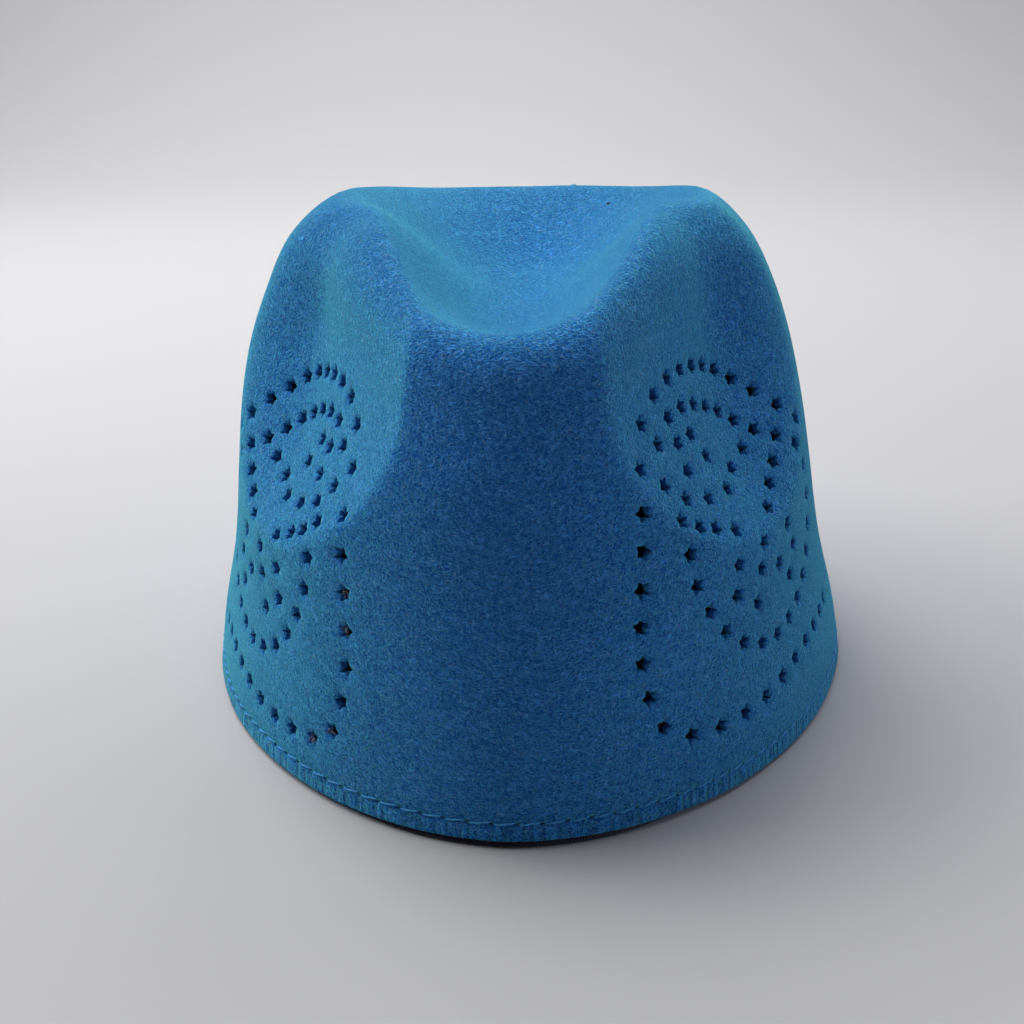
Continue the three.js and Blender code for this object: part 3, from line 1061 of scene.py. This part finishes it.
def start_material(name, *pieces):
    """An empty material on its pieces, with its output and a Principled shader."""
    material = bpy.data.materials.new(name)
    material.use_nodes = True
    tree = material.node_tree
    tree.nodes.clear()
    shader = add_node(tree, "BsdfPrincipled")
    add_node(tree, "OutputMaterial", {"Surface": shader.outputs[0]})
    for piece in pieces:
        piece.data.materials.clear()
        piece.data.materials.append(material)
    return tree, shader


def relief(tree, height, deep):
    """A normal from a height, for a relief so many millimetres deep."""
    return add_node(tree, "Bump", {"Height": height, "Distance": deep * MM}).outputs[0]




# %% [markdown]
# ## Curled fibres as a pattern
#
# Seen close, felt is a tangle of curled fibres. A cheap way to draw them is a smooth noise: the
# lines where it crosses its middle value wander and curl just as fibres do. The group below
# turns those lines into a mask, and the felt uses it at two sizes.

# %% Curl group
curls, given = start_group(
    "curled fibres",
    [("Place", "Vector", None), ("Size", "Float", 500.0), ("Width", "Float", 0.03)],
    [("Mask", "Float")],
)
wander = noise_of(curls, given["Place"], given["Size"], 1.5, distortion=0.8)
off_middle = math_node(curls, "ABSOLUTE", math_node(curls, "SUBTRACT", wander, 0.5))
end_group(curls, {"Mask": remap(curls, off_middle, 0.0, given["Width"], 1.0, 0.0)})

# %% [markdown]
# ## Wool felt
#
# The felt's colour is a clear blue that is never quite even: broad clouds from the dye, and a
# tangle of fibres at two sizes. The fibres on top are pale, partly from the wool's own paler tips
# and partly as painted highlight, and the gaps between them are darkened with painted shade. A fine
# speckle breaks the fibres, since each one dives under its neighbours again and again. The same
# tangle gives the height, so that low light from the side catches each fibre, while light from
# the front leaves the felt looking smooth. Fibres lie along the wall more often than up it, so
# the place is squeezed in height before it goes into the noise.

# %% Felt group
# how a place is squeezed, then for each pattern its cells in a metre and the shades it gives; the
# tangle's shades are painted light on the fibres and painted shade in the gaps
LYING = (1, 1, 1.5)
LONG_CURLS = {"Size": 560.0, "Width": 0.06}
FINE_CURLS, FINE_SHARE = {"Size": 980.0, "Width": 0.08}, 0.85
SPECKLE_CELLS, SPECKLE_SHADES = 1400.0, (0.4, 1.0)
CLOUD_CELLS, CLOUD_SHADES = 45.0, (0.93, 1.07)
TANGLE_PAINTED_SHADES, FIBRE_ROUGHNESS, TANGLE_HIGH = (0.65, 1.35), (1.0, 0.85), 0.8

felt_look, given = start_group(
    "wool felt",
    [
        ("Place", "Vector", None),
        ("Wool", "Color", (0.009, 0.172, 0.67, 1)),
        ("Pale", "Color", (0.14, 0.52, 0.92, 1)),
        ("Pale share", "Float", 0.5),
    ],
    [("Colour", "Color"), ("Roughness", "Float"), ("Height", "Float")],
)
lying = squeezed(felt_look, given["Place"], LYING)
long_curls = use_group(felt_look, curls, {"Place": lying, **LONG_CURLS})[0]
fine_curls = use_group(felt_look, curls, {"Place": lying, **FINE_CURLS})[0]
fine_curls = math_node(felt_look, "MULTIPLY", fine_curls, FINE_SHARE)
tangle = math_node(felt_look, "MAXIMUM", long_curls, fine_curls)
speckle = noise_of(felt_look, lying, SPECKLE_CELLS, 1.0, roughness=0.6)
broken = remap(felt_look, speckle, 0.35, 0.65, *SPECKLE_SHADES)
tangle = math_node(felt_look, "MULTIPLY", tangle, broken)
clouds = noise_of(felt_look, given["Place"], CLOUD_CELLS, 3.0, roughness=0.55)
cloud_shade = remap(felt_look, clouds, 0.3, 0.7, *CLOUD_SHADES)
# painted shade in the gaps between fibres and painted light on the fibres on top
tangle_painted_light_and_shade = remap(felt_look, tangle, 0.0, 1.0, *TANGLE_PAINTED_SHADES)
shade = math_node(felt_look, "MULTIPLY", cloud_shade, tangle_painted_light_and_shade)
dye_with_painted_shade = shaded(felt_look, given["Wool"], shade)
# fibres on top turn pale: partly the wool's own paler tips, partly painted highlight
pale_tips_and_highlight_mask = math_node(felt_look, "MULTIPLY", tangle, given["Pale share"])
mixed = {0: pale_tips_and_highlight_mask, 6: dye_with_painted_shade, 7: given["Pale"]}
colour = add_node(felt_look, "Mix", mixed, data_type="RGBA").outputs[2]
rough = remap(felt_look, tangle, 0.0, 1.0, *FIBRE_ROUGHNESS)
height = math_node(felt_look, "MULTIPLY_ADD", tangle, TANGLE_HIGH, speckle)
end_group(felt_look, {"Colour": colour, "Roughness": rough, "Height": height})

# %% [markdown]
# ## Seam marks
#
# The needle leaves a hole at the end of each stitch, which is darkened with painted shade, and the
# machine's foot presses fine upright ticks into the narrow band under the seam, lightened where
# they stand up and darkened where they are pressed in, as painted light and shade. Both follow
# the edge, so they are drawn from the flat map, and not from the place in space.

# %% Seam group
# millimetres: the middle of the hole's painted shade, its rim, and the heights between which the ticks
# end
HOLE_MIDDLE, HOLE_RIM, TICKS_FULL, TICKS_END = 0.2, 0.75, 3.4, 4.2
# how much painted shade a needle hole gets, how much painted light and shade a tick gets, and how high
# a tick stands
HOLE_PAINTED_SHADE, TICK_PAINTED_LIGHT_AND_SHADE, TICK_HIGH = 0.75, 0.4, 1.5
# cells of the tick noise in a metre, and how it is drawn out up the wall
TICK_CELLS, UPRIGHT = 750.0, (1, 0.12, 1)

seam_look, given = start_group(
    "seam marks", [("Flat place", "Vector", None)], [("Shade", "Float"), ("Height", "Float")]
)
split = add_node(seam_look, "SeparateXYZ", {0: given["Flat place"]})
along, up_wall = split.outputs[0], split.outputs[1]
half_pitch = PITCH * MM / 2
in_pitch = math_node(seam_look, "PINGPONG", along, half_pitch)
aside = math_node(seam_look, "SUBTRACT", half_pitch, in_pitch)
from_seam = math_node(seam_look, "SUBTRACT", up_wall, SEAM_HIGH * MM)
from_hole = add_node(seam_look, "CombineXYZ", {0: aside, 1: from_seam}).outputs[0]
distance = add_node(seam_look, "VectorMath", {0: from_hole}, operation="LENGTH").outputs["Value"]
hole = remap(seam_look, distance, HOLE_MIDDLE * MM, HOLE_RIM * MM, 1.0, 0.0)
tick_noise = noise_of(seam_look, squeezed(seam_look, given["Flat place"], UPRIGHT), TICK_CELLS, 1.0)
tick_line = remap(seam_look, tick_noise, 0.4, 0.6, -0.5, 0.5)
low_band = remap(seam_look, up_wall, TICKS_FULL * MM, TICKS_END * MM, 1.0, 0.0)
tick = math_node(seam_look, "MULTIPLY", tick_line, low_band)
# the ticks get painted light where they stand up and painted shade where they are pressed in
tick_painted_light_and_shade = math_node(seam_look, "MULTIPLY_ADD", tick, TICK_PAINTED_LIGHT_AND_SHADE, 1.0)
# the needle holes are darkened with painted shade
hole_painted_shade = math_node(seam_look, "MULTIPLY_ADD", hole, -HOLE_PAINTED_SHADE, 1.0)
shade = math_node(seam_look, "MULTIPLY", tick_painted_light_and_shade, hole_painted_shade)
tick_height = math_node(seam_look, "MULTIPLY", tick, TICK_HIGH)
height = math_node(seam_look, "SUBTRACT", tick_height, hole)
end_group(seam_look, {"Shade": shade, "Height": height})

# %% Felt material
# how deep the pattern goes, in millimetres
FELT_RELIEF = 0.3

tree, shader = start_material("blue wool felt", felt)
here = add_node(tree, "TexCoord").outputs["Object"]
flat_place = add_node(tree, "UVMap", uv_map="flat_place").outputs[0]
wool = use_group(tree, felt_look, {"Place": here})
seam = use_group(tree, seam_look, {"Flat place": flat_place})
height = math_node(tree, "ADD", wool["Height"], seam["Height"])
# the seam's Shade is painted shade at the needle holes and painted light and shade on the ticks
look = {
    "Base Color": shaded(tree, wool["Colour"], seam["Shade"]),
    "Roughness": wool["Roughness"],
    "Normal": relief(tree, height, FELT_RELIEF),
    "Specular IOR Level": 0.2,
    "Sheen Weight": 1.0,
    "Sheen Roughness": 0.35,
    "Sheen Tint": (0.17, 1.0, 0.93, 1),
}
fill(tree, shader, look)
print("felt material:", len(tree.nodes), "nodes")

# %% [markdown]
# ## Fibres, lint, thread and ribbon
#
# The loose fibres are the same wool, a little paler, because light shines through them. Lint and
# straw use the felt's group too, in colours of their own. The thread is spun, so it has slanting
# turns and a little more gloss, with painted shade in the grooves between the strands and painted
# light on their tops. The ribbon is grosgrain: fine ribs across its width, in a violet so dark
# that it looks black in the shade, with painted shade between the ribs and painted light on them.

# %% Fibre, lint and speck materials
def wool_material(name, wool, pale, *pieces):
    """A material of the felt's group in other colours; gives its network and its shader."""
    tree, shader = start_material(name, *pieces)
    here = add_node(tree, "TexCoord").outputs["Object"]
    look = use_group(tree, felt_look, {"Place": here, "Wool": (*wool, 1), "Pale": (*pale, 1)})
    fill(tree, shader, {"Base Color": look["Colour"], "Roughness": look["Roughness"]})
    print(name, "on", [piece.name for piece in pieces])
    return tree, shader


straw, knot = specks
tree, shader = wool_material("loose wool", (0.22, 0.5, 0.76), (0.75, 0.88, 0.95), fibres, knot)
fill(tree, shader, {"Specular IOR Level": 0.2, "Sheen Weight": 0.3})
wool_material("pale lint", (0.55, 0.52, 0.45), (0.85, 0.82, 0.76), lint)
wool_material("dark straw", (0.015, 0.02, 0.03), (0.05, 0.05, 0.05), straw)

# %% Thread material
# turns in one stitch, depth between the strands in millimetres, and shades from there to their tops:
# painted shade in the grooves and painted light on the strands
THREAD_TURNS, THREAD_RELIEF, STRAND_PAINTED_SHADES = 5.0, 0.08, (0.6, 1.2)

spun, given = start_group(
    "spun thread",
    [("Map", "Vector", None), ("Dye", "Color", (0.06, 0.36, 0.78, 1)), ("Turns", "Float", 1.0)],
    [("Colour", "Color"), ("Height", "Float")],
)
split = add_node(spun, "SeparateXYZ", {0: given["Map"]})
slant = math_node(spun, "MULTIPLY", split.outputs[1], given["Turns"])
twist_line = math_node(spun, "MULTIPLY_ADD", split.outputs[0], 2.0, slant)
strand = math_node(spun, "PINGPONG", twist_line, 0.5)
# the grooves between the strands get painted shade and their tops painted light
dye_with_painted_shade = shaded(spun, given["Dye"], remap(spun, strand, 0.0, 0.5, *STRAND_PAINTED_SHADES))
end_group(spun, {"Colour": dye_with_painted_shade, "Height": strand})

tree, shader = start_material("blue thread", stitches)
thread_map = add_node(tree, "UVMap").outputs[0]
thread_look = use_group(tree, spun, {"Map": thread_map, "Turns": THREAD_TURNS})
look = {
    "Base Color": thread_look["Colour"],
    "Normal": relief(tree, thread_look["Height"], THREAD_RELIEF),
    "Roughness": 0.65,
    "Specular IOR Level": 0.25,
}
fill(tree, shader, look)

# %% Ribbon material
# millimetres from rib to rib and from thread to thread, and the depth of the weave
RIB, WEFT, RIBBON_RELIEF = 0.55, 0.28, 0.12
# height of the weft, painted shade between the ribs and painted light on them, yarn cells in a metre
# and gloss
WEFT_HIGH, WEAVE_PAINTED_SHADES, YARN_CELLS, YARN_GLOSS = 0.3, (0.65, 1.25), 1500.0, (0.5, 0.7)


def ridges(tree, place, pitch):
    """Ridges that go from 0 to 1 and back in each pitch, given in millimetres."""
    half = pitch * MM / 2
    return math_node(tree, "DIVIDE", math_node(tree, "PINGPONG", place, half), half)


weave, given = start_group(
    "grosgrain",
    [("Flat place", "Vector", None), ("Dye", "Color", (0.05, 0.034, 0.056, 1))],
    [("Colour", "Color"), ("Roughness", "Float"), ("Height", "Float")],
)
split = add_node(weave, "SeparateXYZ", {0: given["Flat place"]})
weft = ridges(weave, split.outputs[1], WEFT)
woven = math_node(weave, "MULTIPLY_ADD", weft, WEFT_HIGH, ridges(weave, split.outputs[0], RIB))
yarn = noise_of(weave, given["Flat place"], YARN_CELLS, 2.0)
# the ribs get painted light on top and painted shade between them; the yarn noise after it is real
# tone
shade = remap(weave, woven, 0.0, 1 + WEFT_HIGH, *WEAVE_PAINTED_SHADES)
shade = math_node(weave, "MULTIPLY", shade, math_node(weave, "ADD", yarn, 0.5))
gloss = remap(weave, yarn, 0.3, 0.7, *YARN_GLOSS)
dye_with_painted_shade = shaded(weave, given["Dye"], shade)
end_group(weave, {"Colour": dye_with_painted_shade, "Roughness": gloss, "Height": woven})

tree, shader = start_material("dark grosgrain", ribbon)
flat_place = add_node(tree, "UVMap", uv_map="flat_place").outputs[0]
ribbon_look = use_group(tree, weave, {"Flat place": flat_place})
look = {
    "Base Color": ribbon_look["Colour"],
    "Roughness": ribbon_look["Roughness"],
    "Normal": relief(tree, ribbon_look["Height"], RIBBON_RELIEF),
    "Sheen Weight": 0.15,
}
fill(tree, shader, look)
print("materials:", [material.name for material in bpy.data.materials])

# %% [markdown]
# ## Floor and light
#
# The cap stands on a plain pale sheet that curves up far behind it, so that no edge shows. The
# light comes from a wide window on the left and from behind. A little comes from the ceiling and
# from the right, and almost none from the front. That is why the felt of the nose looks so deep
# a blue, and why the rolled ridges shine: light from behind catches every loose fibre on them.
# One more lamp is turned to the backdrop.

# %% Floor
# metres: reach to the front and to the back, height of the backdrop, width, bend
FLOOR_FRONT, FLOOR_BACK, FLOOR_RISE, FLOOR_WIDE, BEND = 2.0, 1.3, 1.6, 5.0, 0.5
# shares of the sheet at which it starts to bend and stands upright
BEND_FROM, BEND_TO, FLOOR_ROWS = 0.5, 0.75, 40

floor, aside, sweep = flat_grid("floor", 1, FLOOR_ROWS)
lying = np.clip(sweep / BEND_FROM, 0, 1)
bend_angle = np.clip((sweep - BEND_FROM) / (BEND_TO - BEND_FROM), 0, 1) * math.pi / 2
standing = np.clip((sweep - BEND_TO) / (1 - BEND_TO), 0, 1)
out = lying * (FLOOR_FRONT + FLOOR_BACK - BEND) - FLOOR_FRONT + BEND * np.sin(bend_angle)
rise = BEND * (1 - np.cos(bend_angle)) + standing * FLOOR_RISE
put_points(floor, np.column_stack([aside * FLOOR_WIDE, out, rise]) / MM)
bpy.ops.object.shade_smooth()
tree, shader = start_material("pale floor", floor)
fill(tree, shader, {"Base Color": (0.47, 0.465, 0.485, 1), "Roughness": 0.8})
print("floor:", len(floor.data.polygons), "faces")

# %% Lights
# turn from the front in degrees, height in degrees, distance in metres, size in metres, watts
LAMPS = {
    "window left": (-95, 40, 1.2, 0.7, 6.8),
    "window back left": (-135, 52, 1.2, 0.8, 6.6),
    "back": (180, 42, 1.1, 0.7, 2.4),
    "back right": (135, 40, 1.2, 0.7, 2.7),
    "right": (90, 15, 1.2, 0.7, 3.1),
    "front": (0, 15, 1.2, 0.7, 0.12),
    "ceiling": (0, 80, 1.2, 0.8, 1.8),
}
LAMP_COLOURS = {"right": (0.78, 0.82, 1), "back right": (0.9, 0.92, 1), "front": (0.7, 0.78, 1)}
PLAIN_LIGHT = (1, 1, 0.97)
LAMP_AIM = Vector((0, 0, 0.06))
# the lamp for the backdrop: its place, its aim, its size and its watts
BACKDROP_LAMP = (Vector((-0.3, 0.45, 1.3)), Vector((0, 1.25, 0.15)), 0.8, 8.8)
ROOM_COLOUR, ROOM_GLOW = (0.8, 0.85, 0.95, 1), 0.03


def hang_lamp(name, place, aim, size, watts):
    """A round soft lamp at a place, turned to what it lights."""
    lamp_data = bpy.data.lights.new(name, "AREA")
    lamp_data.shape = "DISK"
    lamp_data.size = size
    lamp_data.energy = watts
    lamp_data.color = LAMP_COLOURS.get(name, PLAIN_LIGHT)
    lamp = bpy.data.objects.new(name, lamp_data)
    scene.collection.objects.link(lamp)
    lamp.location = place
    lamp.rotation_mode = "QUATERNION"
    lamp.rotation_quaternion = (aim - place).to_track_quat("-Z", "Y")


for lamp_name, (turn, high, far, size, watts) in LAMPS.items():
    turn, high = math.radians(turn), math.radians(high)
    level = Vector((math.sin(turn), -math.cos(turn), 0)) * math.cos(high)
    toward = level + Vector((0, 0, math.sin(high)))
    hang_lamp(lamp_name, LAMP_AIM + far * toward, LAMP_AIM, size, watts)
hang_lamp("backdrop", *BACKDROP_LAMP)
world = bpy.data.worlds.new("room")
world.use_nodes = True
fill(world.node_tree, world.node_tree.nodes["Background"], {0: ROOM_COLOUR, 1: ROOM_GLOW})
scene.world = world
scene.view_settings.view_transform = "Standard"
print("lamps:", list(LAMPS))
